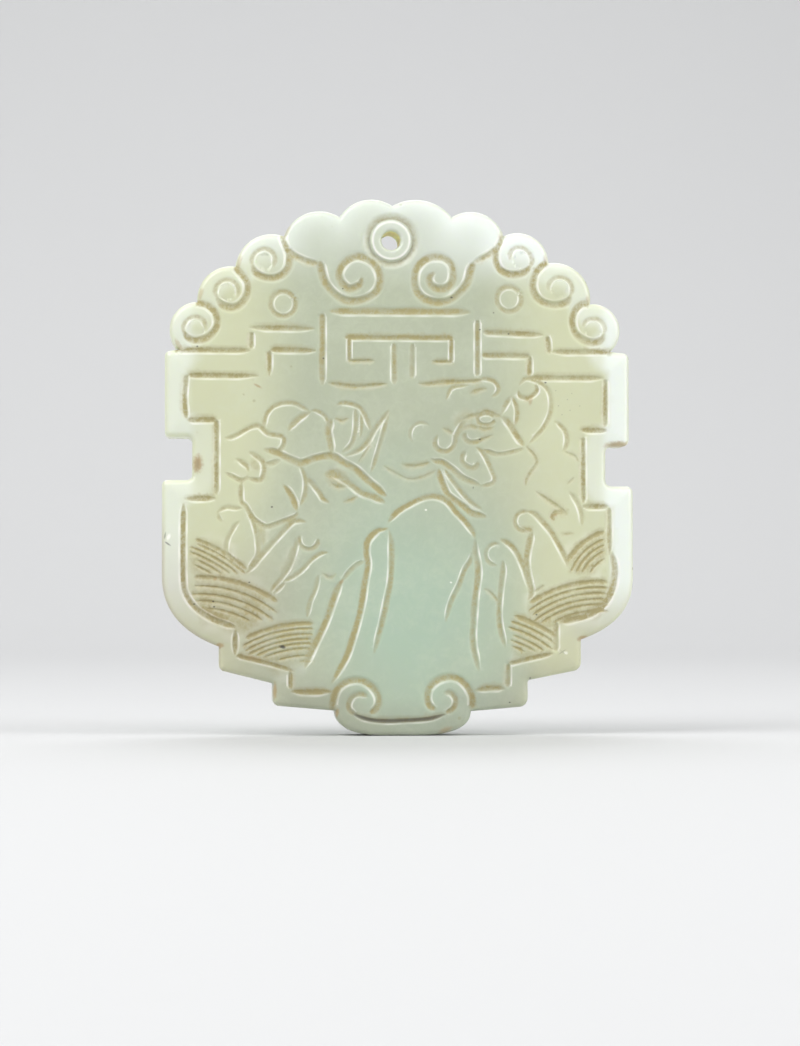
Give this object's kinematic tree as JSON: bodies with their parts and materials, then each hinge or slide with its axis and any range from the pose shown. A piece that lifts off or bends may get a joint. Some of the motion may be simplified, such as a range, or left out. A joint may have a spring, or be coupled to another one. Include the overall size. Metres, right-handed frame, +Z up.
{
  "type": "jade plaque",
  "caption": "Flat carved jade pendant plaque with a lobed cloud crest, a drilled hanging hole, notched and stepped sides and a scrolled foot, carved on both faces.",
  "frame": {"origin": "under the middle of the foot, at the centre of the bottom of the box round the plaque", "axes": "+Z up through the crest, +Y from the picture face (front, -Y) to the reverse, +X to the right seen from the front"},
  "size_m": [0.0528, 0.006, 0.06],
  "materials": {
    "nephrite": "polished waxy celadon nephrite"
  },
  "bodies": {
    "root": {"carved_plaque": "nephrite"}
  },
  "joints": []
}
